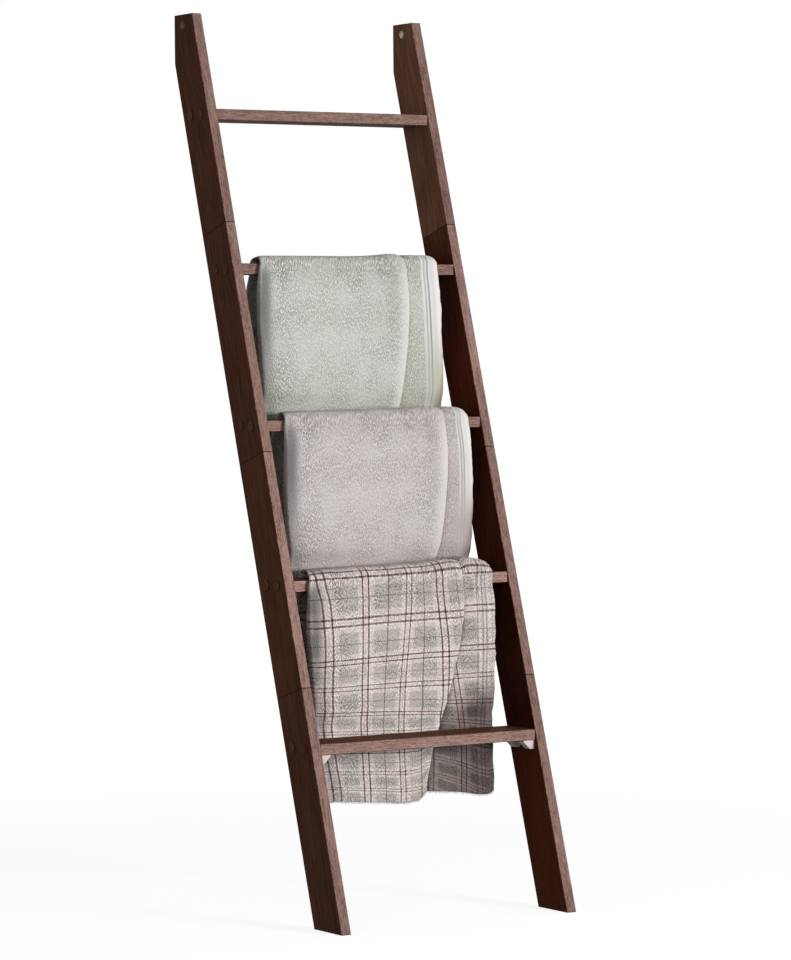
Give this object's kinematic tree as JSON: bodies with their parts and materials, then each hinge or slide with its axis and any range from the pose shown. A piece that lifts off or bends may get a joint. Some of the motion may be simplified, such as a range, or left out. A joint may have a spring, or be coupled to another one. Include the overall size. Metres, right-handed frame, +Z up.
{
  "type": "blanket ladder",
  "caption": "Leaning blanket ladder with jointed board rails, level board rungs, a braced low shelf and folded blankets hung over the middle rungs.",
  "frame": {"origin": "on the floor, midway between the two rails and midway between the front of the feet and the wall", "axes": "+X along the rungs, to the right as seen from the room; +Y back to the wall; +Z up"},
  "size_m": [0.5032, 0.5708, 1.65],
  "materials": {
    "stained_wood": "satin",
    "dowel_wood": "matte",
    "zinc_steel": "satin",
    "cap_plastic": "matte",
    "brace_plastic": "matte",
    "sage_cloth": "matte",
    "rose_cloth": "matte",
    "plaid_cloth": "matte"
  },
  "bodies": {
    "ladder": {"left_rail_foot": "stained_wood", "left_rail_lower": "stained_wood", "left_rail_upper": "stained_wood", "left_rail_top": "stained_wood", "right_rail_foot": "stained_wood", "right_rail_lower": "stained_wood", "right_rail_upper": "stained_wood", "right_rail_top": "stained_wood", "shelf": "stained_wood", "rung_4": "stained_wood", "rung_3": "stained_wood", "rung_2": "stained_wood", "rung_1": "stained_wood", "left_low_seam_dowels": "dowel_wood", "left_low_seam_stud": "zinc_steel", "left_middle_seam_dowels": "dowel_wood", "left_middle_seam_stud": "zinc_steel", "left_high_seam_dowels": "dowel_wood", "left_high_seam_stud": "zinc_steel", "left_front_brace": "brace_plastic", "left_rear_brace": "brace_plastic", "left_brace_screws": "zinc_steel", "right_low_seam_dowels": "dowel_wood", "right_low_seam_stud": "zinc_steel", "right_middle_seam_dowels": "dowel_wood", "right_middle_seam_stud": "zinc_steel", "right_high_seam_dowels": "dowel_wood", "right_high_seam_stud": "zinc_steel", "right_front_brace": "brace_plastic", "right_rear_brace": "brace_plastic", "right_brace_screws": "zinc_steel", "shelf_bolts": "zinc_steel", "shelf_inserts": "zinc_steel", "shelf_left_caps": "cap_plastic", "shelf_right_caps": "cap_plastic", "rung_4_bolts": "zinc_steel", "rung_4_inserts": "zinc_steel", "rung_4_left_caps": "cap_plastic", "rung_4_right_caps": "cap_plastic", "rung_3_bolts": "zinc_steel", "rung_3_inserts": "zinc_steel", "rung_3_left_caps": "cap_plastic", "rung_3_right_caps": "cap_plastic", "rung_2_bolts": "zinc_steel", "rung_2_inserts": "zinc_steel", "rung_2_left_caps": "cap_plastic", "rung_2_right_caps": "cap_plastic", "rung_1_bolts": "zinc_steel", "rung_1_inserts": "zinc_steel", "rung_1_left_caps": "cap_plastic", "rung_1_right_caps": "cap_plastic"},
    "sage_blanket": {"sage_blanket": "sage_cloth"},
    "rose_blanket": {"rose_blanket": "rose_cloth"},
    "plaid_blanket": {"plaid_blanket": "plaid_cloth"}
  },
  "joints": [
    {"name": "sage_slide", "type": "slide", "parent": "ladder", "child": "sage_blanket", "axis": [1, 0, 0], "range_m": [-0.028, 0.014]},
    {"name": "rose_slide", "type": "slide", "parent": "ladder", "child": "rose_blanket", "axis": [1, 0, 0], "range_m": [-0.03, 0.01]},
    {"name": "plaid_slide", "type": "slide", "parent": "ladder", "child": "plaid_blanket", "axis": [1, 0, 0], "range_m": [-0.022, 0.024]}
  ]
}
